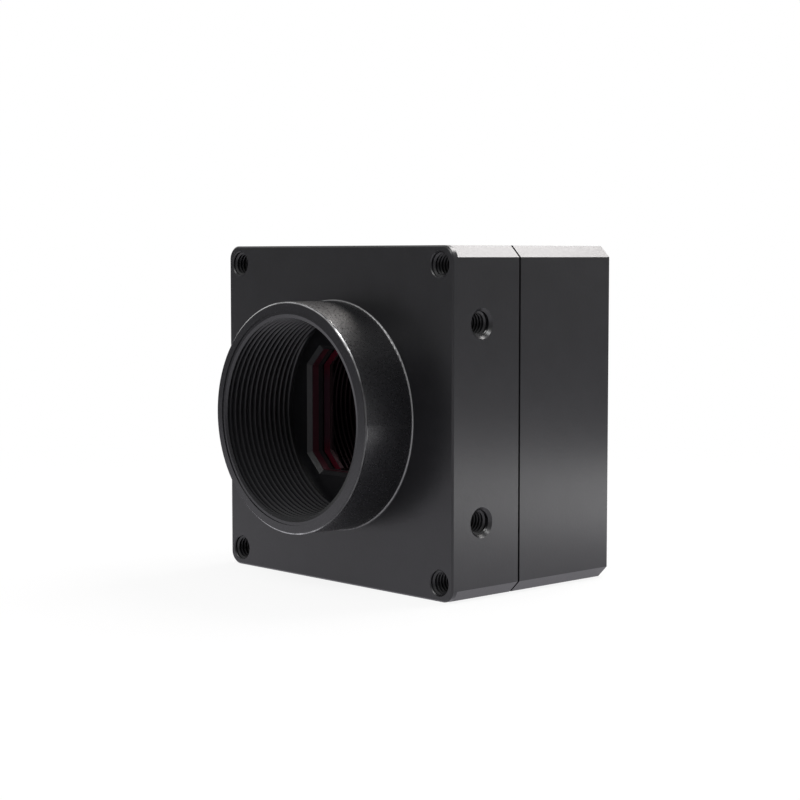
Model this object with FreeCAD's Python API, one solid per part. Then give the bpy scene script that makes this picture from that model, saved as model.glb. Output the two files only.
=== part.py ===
"""Machine vision camera with a 1 inch lens thread: every separate piece as its own STEP file.

The origin is the centre of the lens flange, the face that a lens seats on.
+Y runs along the optical axis into the camera, +X is to the right seen from the lens, +Z is up.
All sizes are in millimetres.
"""
import FreeCAD, Part
import math
import os

Vector = FreeCAD.Vector

# ---------------------------------------------------------------- housing
body_size = 42.0            # outside width and height of the square body
edge_chamfer = 1.4          # leg of the 45 degree chamfer along the four long edges
nose_length = 7.5           # lens flange in front of the front face
nose_radius = 14.2          # outside of the lens mount nose
nose_edge_break = 0.2       # small chamfer round the flange's outer edge
nose_root_fillet = 0.25     # fillet where the nose grows out of the front face
front_depth = 11.1          # front face to the joint between the two housing halves
rear_depth = 16.4           # joint to the back face
rim_depth = 0.8             # rounded front rim, before the long chamfers begin
rim_corner_radius = 1.7     # rounded corners of the front rim
rim_edge_break = 0.2        # small chamfer round the front face
joint_groove_width = 0.3    # shadow groove between the housing halves
joint_groove_depth = 0.5

# ---------------------------------------------------------------- lens thread and window
thread_radius = 12.7        # 1 inch lens thread, major radius
thread_depth = 10.6         # flange to the end of the full thread
lead_radius = 13.1          # shallow counterbore at the thread's mouth
lead_depth = 0.12
relief_radius = 12.95       # tool relief behind the thread
bore_depth = 11.4           # flange to the floor of the bore
window_width = 18.8         # clear opening in the floor
window_height = 15.6
window_corner = 2.2         # leg of the opening's 45 degree corners
window_bevel = 0.5          # bevel round the opening on the lens side
window_web = 1.75           # straight wall behind the bevel

# ---------------------------------------------------------------- filter, gasket and sensor
flange_focal_distance = 17.526
filter_width = 22.0
filter_height = 18.8
filter_thickness = 1.0
filter_corner = 0.8
filter_clearance = 0.15
glass_index = 1.52
active_width = 14.1
active_height = 10.4
die_margin = 0.6
die_thickness = 0.4
package_width = 20.0
package_height = 16.8
package_floor = 0.6
package_rim = 1.0           # height of the ceramic rim above the package floor
package_cavity_margin = 0.7
cover_glass_thickness = 0.5
cover_glass_margin = 0.6
gasket_wall = 1.3
solder_gap = 0.05

# ---------------------------------------------------------------- inside the housing
wall = 1.8                  # side walls of the rear housing
back_wall = 2.0
corner_block = 5.0          # solid corner blocks that take the housing screws
pocket_width = 27.0         # pocket behind the window for the sensor
pocket_height = 23.0
pocket_radius = 2.5
tool_radius = 1.0           # inside corners left by the cutter
spigot_length = 26.0        # ribs of the front housing that locate the rear one
spigot_height = 1.0
spigot_thickness = 0.9
slide_clearance = 0.1

# ---------------------------------------------------------------- tapped holes to the outside
mount_tap_radius = 1.5      # M3 major radius
mount_tap_depth = 4.5
front_tap_inset = 2.25      # front corner holes, from the body's sides
front_tap_sink = 0.12       # countersink leg on the front holes
side_tap_offset = 11.8      # side holes, from the optical axis
side_tap_setback = 4.8      # side holes, behind the front face
side_tap_sink = 0.35        # countersink leg on the side holes
drill_point = 0.8           # depth of the cone left by the drill

# ---------------------------------------------------------------- circuit boards and fixings
board_clearance = 1.4       # board edge to the inside of the housing
sensor_board_thickness = 1.2
board_spacing = 4.5
main_board_thickness = 1.6
standoff_x = 15.6
standoff_z = 9.0
standoff_flats = 4.0
board_thread_radius = 1.0   # M2 major radius
screw_clearance = 0.05      # gap round a screw in its thread
board_hole_radius = 1.15
pad_radius = 2.4            # raised pads that the sensor board seats on
stud_length = 3.4
board_tap_depth = 4.2
board_screw_length = 4.0
cheese_head_radius = 1.9
cheese_head_height = 1.3
driver_flats = 1.5
housing_thread_radius = 1.25    # M2.5 major radius
housing_screw_inset = 3.6   # from the body's sides
housing_screw_grip = 13.2   # head seat to the joint
housing_tap_depth = 4.4
housing_screw_reach = 3.6   # screw length inside the front housing
cap_head_radius = 2.25
cap_head_height = 2.5
cap_head_clearance = 0.15
hex_key_flats = 2.0
hex_key_depth = 1.3

# ---------------------------------------------------------------- parts on the boards
connector_x = -9.8
connector_width = 4.6
connector_length = 16.0
connector_lip = 0.5
processor_size = 13.0
processor_height = 1.6
thermal_pad_size = 12.0
thermal_pad_thickness = 0.8
chip_edge = 0.15
memory_x = 11.2
memory_width = 6.0
memory_length = 8.5
memory_height = 1.0
controller_size = 9.0
controller_height = 0.9
controller_place = (6.0, 5.0)
regulator_size = 3.0
regulator_height = 1.0
regulator_places = [(2.0, 9.0), (7.0, 9.0), (2.0, -9.0)]
inductor_size = 4.0
inductor_height = 1.8
inductor_places = [(1.0, -9.0), (6.5, -9.0)]
oscillator_width = 2.5
oscillator_length = 3.2
oscillator_height = 0.9
oscillator_place = (-10.5, 13.0)
capacitor_length = 1.6
capacitor_width = 0.9
capacitor_pitch = 3.0
sensor_capacitor_x = 11.6   # column beside the sensor
sensor_capacitor_count = 5
row_capacitor_x = (-6.0, -3.0, 3.0, 6.0)    # row above the processor
row_capacitor_z = 8.2
inlet_capacitor_x = -10.0   # column beside the power socket
inlet_capacitor_z = -12.0
inlet_capacitor_count = 3

# ---------------------------------------------------------------- data socket (back, upper)
data_z = 13.0
data_narrow_width = 4.4
data_wide_width = 7.2
data_gap_width = 0.7
data_height = 2.6
data_corner = 0.6
data_step = 0.8             # how much lower the web between the two halves is
data_sheet = 0.3
data_cutout_clearance = 0.35
data_base_height = 2.2
data_base_depth = 5.0
tongue_thickness = 0.65
tongue_margin = 0.75
tongue_setback = 1.2
contact_width = 0.3
contact_thickness = 0.1
contact_count = 5
lock_hole_spacing = 19.0
lock_thread_radius = 1.0

# ---------------------------------------------------------------- power and signal socket (back, lower)
power_z = -12.0
power_thread_radius = 4.5
power_inside_length = 4.0
power_flange_radius = 6.0
power_flange_thickness = 1.4
power_barrel_radius = 5.1
power_barrel_length = 2.1
power_bore_radius = 4.1
power_key_radius = 0.6
power_insert_setback = 2.6  # face of the insert behind the barrel's mouth
power_pin_radius = 0.35
power_pin_circle = 2.4
power_pin_count = 5
power_edge_break = 0.15
power_pin_tip_setback = 0.9
power_nut_flats = 11.0
power_nut_height = 1.8
power_washer_thickness = 0.4
power_hole_clearance = 0.1

# ---------------------------------------------------------------- status light (back)
light_x = 11.6
light_z = -12.0
light_radius = 1.0
light_flange_radius = 1.4
light_flange_height = 0.5
light_dome = 0.35
led_size = 1.6
led_height = 0.7
light_gap = 0.3

# ---------------------------------------------------------------- places worked out from the sizes
half_body = body_size / 2
front_tap_offset = half_body - front_tap_inset
housing_screw_offset = half_body - housing_screw_inset
front_face_y = nose_length
joint_y = front_face_y + front_depth
back_face_y = joint_y + rear_depth
inner_back_y = back_face_y - back_wall
bevel_end_y = bore_depth + window_bevel
filter_front_y = bevel_end_y + window_web
filter_back_y = filter_front_y + filter_thickness
focus_shift = filter_thickness * (glass_index - 1) / glass_index
image_y = flange_focal_distance + focus_shift
die_back_y = image_y + die_thickness
package_back_y = die_back_y + package_floor
package_front_y = die_back_y - package_rim
cover_front_y = package_front_y - cover_glass_thickness
sensor_board_front_y = package_back_y + solder_gap
sensor_board_back_y = sensor_board_front_y + sensor_board_thickness
main_board_front_y = sensor_board_back_y + board_spacing
main_board_back_y = main_board_front_y + main_board_thickness
half_cavity = half_body - wall
half_arm = half_cavity - corner_block
half_board = half_cavity - board_clearance
half_board_arm = half_arm - board_clearance
mating_y = sensor_board_back_y + board_spacing / 2
pad_front_y = main_board_back_y + processor_height
pad_back_y = pad_front_y + thermal_pad_thickness
head_seat_y = joint_y + housing_screw_grip
barrel_front_y = back_face_y + power_flange_thickness
barrel_mouth_y = barrel_front_y + power_barrel_length
insert_face_y = barrel_mouth_y - power_insert_setback
socket_tail_y = inner_back_y - power_inside_length
data_width = data_narrow_width + data_wide_width + data_gap_width


# ---------------------------------------------------------------- building blocks
def prism(points, y_start, y_end):
    """Straight bar along +Y over a closed outline of (x, z) points."""
    corners = [Vector(x, y_start, z) for x, z in points]
    face = Part.Face(Part.makePolygon(corners + corners[:1]))
    return face.extrude(Vector(0, y_end - y_start, 0))


def block(width, height, y_start, y_end, x=0.0, z=0.0):
    """Rectangular bar along +Y centred on (x, z)."""
    corner = Vector(x - width / 2, y_start, z - height / 2)
    return Part.makeBox(width, y_end - y_start, height, corner)


def rod(radius, y_start, y_end, x=0.0, z=0.0):
    """Round bar along +Y."""
    return Part.makeCylinder(radius, y_end - y_start, Vector(x, y_start, z), Vector(0, 1, 0))


def taper(radius_start, radius_end, y_start, y_end, x=0.0, z=0.0):
    """Cone frustum along +Y."""
    base = Vector(x, y_start, z)
    return Part.makeCone(radius_start, radius_end, y_end - y_start, base, Vector(0, 1, 0))


def turned(profile):
    """Solid of revolution about the optical axis from closed (radius, y) points."""
    corners = [Vector(radius, y, 0) for radius, y in profile]
    face = Part.Face(Part.makePolygon(corners + corners[:1]))
    return face.revolve(Vector(0, 0, 0), Vector(0, 1, 0), 360)


def edges_along_y(shape):
    """Straight edges of a shape that run parallel to the optical axis."""
    found = []
    for edge in shape.Edges:
        start = edge.Vertexes[0].Point
        end = edge.Vertexes[-1].Point
        run = end - start
        if run.Length > 1e-6 and abs(abs(run.y) - run.Length) < 1e-6:
            found.append(edge)
    return found


def edges_in_plane(shape, y):
    """Edges of a shape that lie in the plane at y."""
    return [edge for edge in shape.Edges
            if abs(edge.BoundBox.YMin - y) < 1e-6 and abs(edge.BoundBox.YMax - y) < 1e-6]


def rounded_block(width, height, radius, y_start, y_end, x=0.0, z=0.0):
    """Rectangular bar along +Y with rounded corners."""
    bar = block(width, height, y_start, y_end, x, z)
    return bar.makeFillet(radius, edges_along_y(bar))


def octagon(width, height, corner):
    """Outline of a rectangle with its corners cut at 45 degrees."""
    w = width / 2
    h = height / 2
    return [(w - corner, h), (w, h - corner), (w, corner - h), (w - corner, -h),
            (corner - w, -h), (-w, corner - h), (-w, h - corner), (corner - w, h)]


def plus_bar(half_length, half_arm_width, y_start, y_end):
    """Bar with a plus-shaped section: a square without its four corners."""
    wide = block(2 * half_length, 2 * half_arm_width, y_start, y_end)
    tall = block(2 * half_arm_width, 2 * half_length, y_start, y_end)
    return wide.fuse(tall).removeSplitter()


def hexagon_bar(flats, y_start, y_end, x=0.0, z=0.0):
    """Hexagonal bar along +Y with two flats facing up and down."""
    corner_radius = flats / math.sqrt(3)
    points = []
    for corner in range(6):
        angle = math.radians(60 * corner)
        points.append((x + corner_radius * math.cos(angle), z + corner_radius * math.sin(angle)))
    return prism(points, y_start, y_end)


def four_corners(x, z):
    """The four places that mirror one another about both axes."""
    return [(sx * x, sz * z) for sx in (-1, 1) for sz in (-1, 1)]


def tapped_hole(radius, depth, sink, mouth, inward):
    """Blind threaded hole at its major radius, with a countersunk mouth and a drill point."""
    hole = Part.makeCylinder(radius, depth, mouth, inward)
    funnel = Part.makeCone(radius + sink, radius, sink, mouth, inward)
    tip = Part.makeCone(radius, 0, drill_point, mouth + inward * depth, inward)
    return hole.fuse([funnel, tip])


# ---------------------------------------------------------------- housing halves
def front_shell():
    """Outside form of the front housing: chamfered block, rounded rim and turned nose."""
    rim_end_y = front_face_y + rim_depth
    body = prism(octagon(body_size, body_size, edge_chamfer), rim_end_y, joint_y)
    rim = rounded_block(body_size, body_size, rim_corner_radius, front_face_y, rim_end_y)
    rim = rim.makeChamfer(rim_edge_break, edges_in_plane(rim, front_face_y))
    return body.fuse([rim, nose()]).removeSplitter()


def nose():
    """Lens mount nose with its root fillet, still solid inside."""
    root_y = front_face_y - nose_root_fillet
    root_radius = nose_radius + nose_root_fillet
    buried_y = front_face_y + rim_depth
    middle = Vector(root_radius - nose_root_fillet * math.sqrt(0.5),
                    root_y + nose_root_fillet * math.sqrt(0.5), 0)
    fillet = Part.Arc(Vector(nose_radius, root_y, 0), middle, Vector(root_radius, front_face_y, 0))
    outline = [(0, 0), (nose_radius - nose_edge_break, 0), (nose_radius, nose_edge_break), (nose_radius, root_y)]
    front = Part.makePolygon([Vector(radius, y, 0) for radius, y in outline])
    back = Part.makePolygon([Vector(root_radius, front_face_y, 0), Vector(root_radius, buried_y, 0),
                             Vector(0, buried_y, 0), Vector(0, 0, 0)])
    face = Part.Face(Part.Wire(front.Edges + [fillet.toShape()] + back.Edges))
    return face.revolve(Vector(0, 0, 0), Vector(0, 1, 0), 360)


def lens_bore():
    """Cutting body for the lens thread, its lead-in and its relief."""
    over = 1.0
    return turned([(0, -over), (lead_radius, -over), (lead_radius, lead_depth), (thread_radius, lead_depth),
                   (thread_radius, thread_depth), (relief_radius, thread_depth),
                   (relief_radius, bore_depth), (0, bore_depth)])


def window_cut():
    """Cutting body for the bevelled eight-sided window and the filter's pocket behind it."""
    outer_corner = window_corner + 2 * window_bevel - window_bevel * math.sqrt(2)
    outer = octagon(window_width + 2 * window_bevel, window_height + 2 * window_bevel, outer_corner)
    inner = octagon(window_width, window_height, window_corner)
    sections = []
    for points, y in ((outer, bore_depth), (inner, bevel_end_y)):
        corners = [Vector(x, y, z) for x, z in points]
        sections.append(Part.makePolygon(corners + corners[:1]))
    bevel = Part.makeLoft(sections, True, True)
    opening = prism(inner, bevel_end_y, filter_front_y)
    seat_width = filter_width + 2 * filter_clearance
    seat_height = filter_height + 2 * filter_clearance
    seat = prism(octagon(seat_width, seat_height, filter_corner), filter_front_y, filter_back_y)
    pocket = rounded_block(pocket_width, pocket_height, pocket_radius, filter_back_y, joint_y)
    return bevel.fuse([opening, seat, pocket]).removeSplitter()


def outside_taps():
    """Cutting bodies for the tapped holes on the front face and on all four sides."""
    cuts = []
    for x, z in four_corners(front_tap_offset, front_tap_offset):
        mouth = Vector(x, front_face_y, z)
        cuts.append(tapped_hole(mount_tap_radius, mount_tap_depth, front_tap_sink, mouth, Vector(0, 1, 0)))
    tap_y = front_face_y + side_tap_setback
    for quarter in range(4):
        turn = FreeCAD.Rotation(Vector(0, 1, 0), 90 * quarter)
        for offset in (-side_tap_offset, side_tap_offset):
            mouth = turn.multVec(Vector(half_body, tap_y, offset))
            inward = turn.multVec(Vector(-1, 0, 0))
            cuts.append(tapped_hole(mount_tap_radius, mount_tap_depth, side_tap_sink, mouth, inward))
    return cuts


def spigot_ribs():
    """Ribs on the joint face that slide inside the rear housing and locate it."""
    reach = half_cavity - slide_clearance
    ribs = []
    for side in (-1, 1):
        centre = side * (reach - spigot_thickness / 2)
        end_y = joint_y + spigot_height
        ribs.append(block(spigot_thickness, spigot_length, joint_y, end_y, x=centre))
        ribs.append(block(spigot_length, spigot_thickness, joint_y, end_y, z=centre))
    return ribs


def front_housing():
    """One-piece front housing with lens nose, window, sensor pocket and all its holes."""
    pads = [rod(pad_radius, joint_y, sensor_board_front_y, x, z) for x, z in four_corners(standoff_x, standoff_z)]
    cuts = [lens_bore(), window_cut()] + outside_taps()
    for x, z in four_corners(standoff_x, standoff_z):
        cuts.append(rod(board_thread_radius, sensor_board_front_y - board_tap_depth, sensor_board_front_y, x, z))
    for x, z in four_corners(housing_screw_offset, housing_screw_offset):
        cuts.append(rod(housing_thread_radius, joint_y - housing_tap_depth, joint_y, x, z))
    return front_shell().fuse(spigot_ribs() + pads).cut(cuts).removeSplitter()


def rear_housing():
    """Cup that closes the back: corner blocks, heat pedestal, socket openings and screw seats."""
    shell = prism(octagon(body_size, body_size, edge_chamfer), joint_y, back_face_y)
    groove_inside = body_size - 2 * joint_groove_depth
    groove_end_y = joint_y + joint_groove_width
    groove = block(body_size, body_size, joint_y, groove_end_y)
    groove = groove.cut(prism(octagon(groove_inside, groove_inside, edge_chamfer), joint_y, groove_end_y))
    cavity = plus_bar(half_cavity, half_arm, joint_y, inner_back_y)
    cavity = cavity.makeFillet(tool_radius, edges_along_y(cavity))
    pedestal = rounded_block(thermal_pad_size, thermal_pad_size, tool_radius, pad_back_y, inner_back_y)
    cavity = cavity.cut(pedestal)
    cuts = [groove, cavity, data_cutout(), lock_holes(), light_hole()]
    cuts.append(rod(power_thread_radius + power_hole_clearance, inner_back_y, back_face_y, z=power_z))
    for x, z in four_corners(housing_screw_offset, housing_screw_offset):
        cuts.append(rod(housing_thread_radius + 2 * screw_clearance, joint_y, head_seat_y, x, z))
        cuts.append(rod(cap_head_radius + cap_head_clearance, head_seat_y, back_face_y, x, z))
    return shell.cut(cuts).removeSplitter()


# ---------------------------------------------------------------- optics and sensor
def ir_cut_filter():
    """Coated glass plate behind the window."""
    return prism(octagon(filter_width, filter_height, filter_corner), filter_front_y, filter_back_y)


def sensor_gasket():
    """Silicone frame that seals the space between filter and sensor."""
    width = package_width - 2 * cover_glass_margin
    height = package_height - 2 * cover_glass_margin
    frame = rounded_block(width, height, tool_radius, filter_back_y, cover_front_y)
    hole = block(width - 2 * gasket_wall, height - 2 * gasket_wall, filter_back_y, cover_front_y)
    return frame.cut(hole)


def sensor_package():
    """Ceramic carrier: floor and rim round the silicon die."""
    body = block(package_width, package_height, package_front_y, package_back_y)
    cavity_width = active_width + 2 * (die_margin + package_cavity_margin)
    cavity_height = active_height + 2 * (die_margin + package_cavity_margin)
    return body.cut(block(cavity_width, cavity_height, package_front_y, die_back_y))


def sensor_die():
    """Silicon die with its light-sensitive face in the lens's image plane."""
    return block(active_width + 2 * die_margin, active_height + 2 * die_margin, image_y, die_back_y)


def sensor_cover_glass():
    """Glass lid of the sensor package."""
    width = package_width - 2 * cover_glass_margin
    height = package_height - 2 * cover_glass_margin
    return block(width, height, cover_front_y, package_front_y)


# ---------------------------------------------------------------- boards and fixings
def board(y_start, y_end, holes):
    """Plus-shaped circuit board with round holes at (x, z, radius)."""
    plate = plus_bar(half_board, half_board_arm, y_start, y_end)
    plate = plate.makeFillet(tool_radius, edges_along_y(plate))
    return plate.cut([rod(radius, y_start, y_end, x, z) for x, z, radius in holes])


def standoff_holes():
    """Clearance holes for the four standoffs."""
    return [(x, z, board_hole_radius) for x, z in four_corners(standoff_x, standoff_z)]


def sensor_board():
    """Board that carries the image sensor."""
    return board(sensor_board_front_y, sensor_board_back_y, standoff_holes())


def main_board():
    """Board that carries the processor and both sockets."""
    pin_holes = [(x, z, power_pin_radius) for x, z in power_pin_places()]
    return board(main_board_front_y, main_board_back_y, standoff_holes() + pin_holes)


def board_standoffs():
    """Hexagonal standoffs: stud into the front housing, thread for the board screw."""
    pieces = []
    for x, z in four_corners(standoff_x, standoff_z):
        bar = hexagon_bar(standoff_flats, sensor_board_back_y, main_board_front_y, x, z)
        stud_end_y = sensor_board_front_y - stud_length
        stud = rod(board_thread_radius - screw_clearance, stud_end_y, sensor_board_back_y, x, z)
        thread = rod(board_thread_radius, main_board_front_y - board_screw_length, main_board_front_y, x, z)
        pieces.append(bar.fuse(stud).cut(thread).removeSplitter())
    return Part.makeCompound(pieces)


def board_screws():
    """Cheese head screws that hold the main board on the standoffs."""
    pieces = []
    for x, z in four_corners(standoff_x, standoff_z):
        head_y = main_board_back_y + cheese_head_height
        head = rod(cheese_head_radius, main_board_back_y, head_y, x, z)
        tip_y = main_board_back_y - board_screw_length
        shank = rod(board_thread_radius - screw_clearance, tip_y, main_board_back_y, x, z)
        recess = hexagon_bar(driver_flats, main_board_back_y + cheese_head_height / 3, head_y, x, z)
        pieces.append(head.fuse(shank).cut(recess).removeSplitter())
    return Part.makeCompound(pieces)


def housing_screws():
    """Socket cap screws in the back corners that hold the housing halves together."""
    pieces = []
    for x, z in four_corners(housing_screw_offset, housing_screw_offset):
        top_y = head_seat_y + cap_head_height
        head = rod(cap_head_radius, head_seat_y, top_y, x, z)
        head = head.makeChamfer(cap_head_clearance, edges_in_plane(head, top_y))
        tip_y = joint_y - housing_screw_reach
        shank = rod(housing_thread_radius - screw_clearance, tip_y, head_seat_y, x, z)
        key = hexagon_bar(hex_key_flats, top_y - hex_key_depth, top_y, x, z)
        pieces.append(head.fuse(shank).cut(key).removeSplitter())
    return Part.makeCompound(pieces)


# ---------------------------------------------------------------- parts on the boards
def chip(width, length, height, face_y, side, x, z):
    """Moulded chip on a board face; side is +1 on the back face and -1 on the front face."""
    y_start = min(face_y, face_y + side * height)
    body = block(width, length, y_start, y_start + height, x, z)
    far_y = face_y + side * height
    return body.makeChamfer(chip_edge, edges_in_plane(body, far_y))


def chips(places, width, length, height, face_y, side):
    """Equal chips at the given (x, z) places."""
    return Part.makeCompound([chip(width, length, height, face_y, side, x, z) for x, z in places])


def column(x, middle, count):
    """Places one above the other, a capacitor pitch apart."""
    return [(x, middle + (index - (count - 1) / 2) * capacitor_pitch) for index in range(count)]


def sensor_board_capacitors():
    """Ceramic capacitors on both sides of the sensor, in the front housing's pocket."""
    places = column(-sensor_capacitor_x, 0.0, sensor_capacitor_count)
    places += column(sensor_capacitor_x, 0.0, sensor_capacitor_count)
    return chips(places, capacitor_width, capacitor_length, capacitor_width, sensor_board_front_y, -1)


def sensor_board_regulators():
    """Voltage regulators on the back of the sensor board."""
    return chips(regulator_places, regulator_size, regulator_size, regulator_height, sensor_board_back_y, 1)


def board_plug():
    """Plug half of the connector between the boards, on the sensor board."""
    body = block(connector_width, connector_length, sensor_board_back_y, mating_y, connector_x)
    slot_width = connector_width - 4 * connector_lip
    slot_length = connector_length - 4 * connector_lip
    tongue_slot = block(slot_width, slot_length, sensor_board_back_y + connector_lip, mating_y, connector_x)
    return body.cut(tongue_slot)


def board_receptacle():
    """Receptacle half of the connector between the boards, on the main board."""
    body = block(connector_width + 2 * connector_lip, connector_length + 2 * connector_lip,
                 mating_y, main_board_front_y, connector_x)
    tongue_width = connector_width - 4 * connector_lip - 2 * slide_clearance
    tongue_length = connector_length - 4 * connector_lip - 2 * slide_clearance
    tongue_start_y = sensor_board_back_y + 2 * connector_lip
    tongue = block(tongue_width, tongue_length, tongue_start_y, mating_y, connector_x)
    return body.fuse(tongue).removeSplitter()


def image_processor():
    """Programmable processor at the centre of the main board."""
    return chip(processor_size, processor_size, processor_height, main_board_back_y, 1, 0, 0)


def thermal_pad():
    """Soft pad that carries heat from the processor to the rear housing."""
    return block(thermal_pad_size, thermal_pad_size, pad_front_y, pad_back_y)


def memory_chips():
    """Frame memory on both sides of the processor."""
    places = [(-memory_x, 0), (memory_x, 0)]
    return chips(places, memory_width, memory_length, memory_height, main_board_back_y, 1)


def interface_controller():
    """Data interface chip on the front of the main board."""
    x, z = controller_place
    return chip(controller_size, controller_size, controller_height, main_board_front_y, -1, x, z)


def clock_oscillator():
    """Metal-lidded oscillator beside the data socket."""
    x, z = oscillator_place
    return chip(oscillator_width, oscillator_length, oscillator_height, main_board_back_y, 1, x, z)


def power_inductors():
    """Power inductors on the front of the main board."""
    return chips(inductor_places, inductor_size, inductor_size, inductor_height, main_board_front_y, -1)


def main_board_capacitors():
    """Capacitors in a row above the processor and in a column beside the power socket."""
    places = [(x, row_capacitor_z) for x in row_capacitor_x]
    places += column(inlet_capacitor_x, inlet_capacitor_z, inlet_capacitor_count)
    return chips(places, capacitor_length, capacitor_width, capacitor_width, main_board_back_y, 1)


# ---------------------------------------------------------------- data socket
def data_outline(grow):
    """Outline of the data socket's mouth, grown outwards by grow: a wide and a narrow half."""
    left = -data_width / 2 - grow
    right = data_width / 2 + grow
    top = data_height / 2 + grow
    bottom = -data_height / 2 - grow
    gap_left = -data_width / 2 + data_wide_width + grow
    gap_right = gap_left + data_gap_width - 2 * grow
    step = bottom + data_step
    corner = data_corner
    points = [(left, top), (left, bottom + corner), (left + corner, bottom), (gap_left - corner, bottom)]
    if gap_right > gap_left:
        points += [(gap_left, bottom + corner), (gap_left, step), (gap_right, step), (gap_right, bottom + corner)]
    else:
        middle = (gap_left + gap_right) / 2
        points += [(middle, bottom + corner)]
    points += [(gap_right + corner, bottom), (right - corner, bottom), (right, bottom + corner), (right, top)]
    return [(x, z + data_z) for x, z in points]


def data_socket_shell():
    """Folded steel shell of the data socket, open at the back of the camera."""
    base_y = main_board_back_y + data_base_height
    tube = prism(data_outline(data_sheet), base_y, back_face_y)
    return tube.cut(prism(data_outline(0.0), base_y, back_face_y))


def tongue_spans():
    """Centre and width of the insulator's two tongues."""
    wide_centre = -data_width / 2 + data_wide_width / 2
    narrow_centre = data_width / 2 - data_narrow_width / 2
    return [(wide_centre, data_wide_width - 2 * tongue_margin),
            (narrow_centre, data_narrow_width - 2 * tongue_margin)]


def data_socket_insulator():
    """Moulded base of the data socket with its two contact tongues."""
    base_y = main_board_back_y + data_base_height
    base_width = data_width + 2 * data_sheet + 2 * slide_clearance
    base = block(base_width, data_base_depth, main_board_back_y, base_y, z=data_z)
    tongues = [block(width, tongue_thickness, base_y, back_face_y - tongue_setback, centre, data_z)
               for centre, width in tongue_spans()]
    return base.fuse(tongues).removeSplitter()


def data_socket_contacts():
    """Contact strips that lie on the upper face of the tongues."""
    base_y = main_board_back_y + data_base_height
    z = data_z + tongue_thickness / 2 + contact_thickness / 2
    strips = []
    for centre, width in tongue_spans():
        pitch = width / contact_count
        for index in range(contact_count):
            x = centre + (index - (contact_count - 1) / 2) * pitch
            strips.append(block(contact_width, contact_thickness, base_y, back_face_y - tongue_setback, x, z))
    return Part.makeCompound(strips)


def data_cutout():
    """Opening in the back wall round the data socket."""
    width = data_width + 2 * (data_sheet + data_cutout_clearance)
    height = data_height + 2 * (data_sheet + data_cutout_clearance)
    return rounded_block(width, height, data_corner, inner_back_y, back_face_y, z=data_z)


def lock_holes():
    """Threaded holes for a plug's locking screws, on both sides of the data socket."""
    x = lock_hole_spacing / 2
    holes = [rod(lock_thread_radius, inner_back_y, back_face_y, side * x, data_z) for side in (-1, 1)]
    return Part.makeCompound(holes)


# ---------------------------------------------------------------- power and signal socket
def power_pin_places():
    """Places of the socket's pins: one in the middle, the rest on a circle."""
    places = [(0.0, power_z)]
    for index in range(power_pin_count):
        angle = math.radians(90 + 360 * index / power_pin_count)
        places.append((power_pin_circle * math.cos(angle), power_z + power_pin_circle * math.sin(angle)))
    return places


def power_socket_shell():
    """Turned shell: thread through the back wall, flange and plug barrel with its key."""
    thread = rod(power_thread_radius, socket_tail_y, back_face_y, z=power_z)
    flange = rod(power_flange_radius, back_face_y, barrel_front_y, z=power_z)
    flange = flange.makeChamfer(power_edge_break, edges_in_plane(flange, barrel_front_y))
    barrel = rod(power_barrel_radius, barrel_front_y, barrel_mouth_y, z=power_z)
    barrel = barrel.makeChamfer(power_edge_break, edges_in_plane(barrel, barrel_mouth_y))
    mouth_bore = rod(power_bore_radius, insert_face_y, barrel_mouth_y, z=power_z)
    tail_bore = rod(power_bore_radius - 2 * slide_clearance, socket_tail_y, insert_face_y, z=power_z)
    key = rod(power_key_radius, insert_face_y, barrel_mouth_y, z=power_z + power_bore_radius)
    return thread.fuse([flange, barrel]).cut([mouth_bore, tail_bore, key]).removeSplitter()


def power_socket_insert():
    """Insulating insert that holds the pins."""
    radius = power_bore_radius - 2 * slide_clearance
    insert = rod(radius, socket_tail_y, insert_face_y, z=power_z)
    return insert.cut([rod(power_pin_radius, socket_tail_y, insert_face_y, x, z) for x, z in power_pin_places()])


def power_socket_pins():
    """Pins from the main board to the plug."""
    tip_y = barrel_mouth_y - power_pin_tip_setback
    pins = []
    for x, z in power_pin_places():
        pin = rod(power_pin_radius, main_board_front_y, tip_y, x, z)
        pins.append(pin.makeChamfer(power_pin_radius / 2, edges_in_plane(pin, tip_y)))
    return Part.makeCompound(pins)


def power_socket_nut():
    """Hexagonal nut inside the back wall."""
    end_y = inner_back_y - power_washer_thickness
    start_y = end_y - power_nut_height
    nut = hexagon_bar(power_nut_flats, start_y, end_y, z=power_z)
    return nut.cut(rod(power_thread_radius, start_y, end_y, z=power_z))


def power_socket_washer():
    """Lock washer between nut and back wall."""
    start_y = inner_back_y - power_washer_thickness
    washer = rod(power_nut_flats / 2, start_y, inner_back_y, z=power_z)
    return washer.cut(rod(power_thread_radius + power_hole_clearance, start_y, inner_back_y, z=power_z))


# ---------------------------------------------------------------- status light
def light_hole():
    """Stepped hole for the light pipe."""
    hole = rod(light_radius, inner_back_y, back_face_y, light_x, light_z)
    step_y = back_face_y - light_flange_height
    return hole.fuse(rod(light_flange_radius, step_y, back_face_y, light_x, light_z))


def light_pipe():
    """Clear rod that carries the status light to the back face."""
    start_y = main_board_back_y + led_height + light_gap
    stem = rod(light_radius, start_y, back_face_y, light_x, light_z)
    step_y = back_face_y - light_flange_height
    cap = rod(light_flange_radius, step_y, back_face_y + light_dome, light_x, light_z)
    cap = cap.makeChamfer(light_dome, edges_in_plane(cap, back_face_y + light_dome))
    return stem.fuse(cap).removeSplitter()


def status_led():
    """Light-emitting diode on the main board, under the light pipe."""
    end_y = main_board_back_y + led_height
    return block(led_size, led_size / 2, main_board_back_y, end_y, light_x, light_z)


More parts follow.
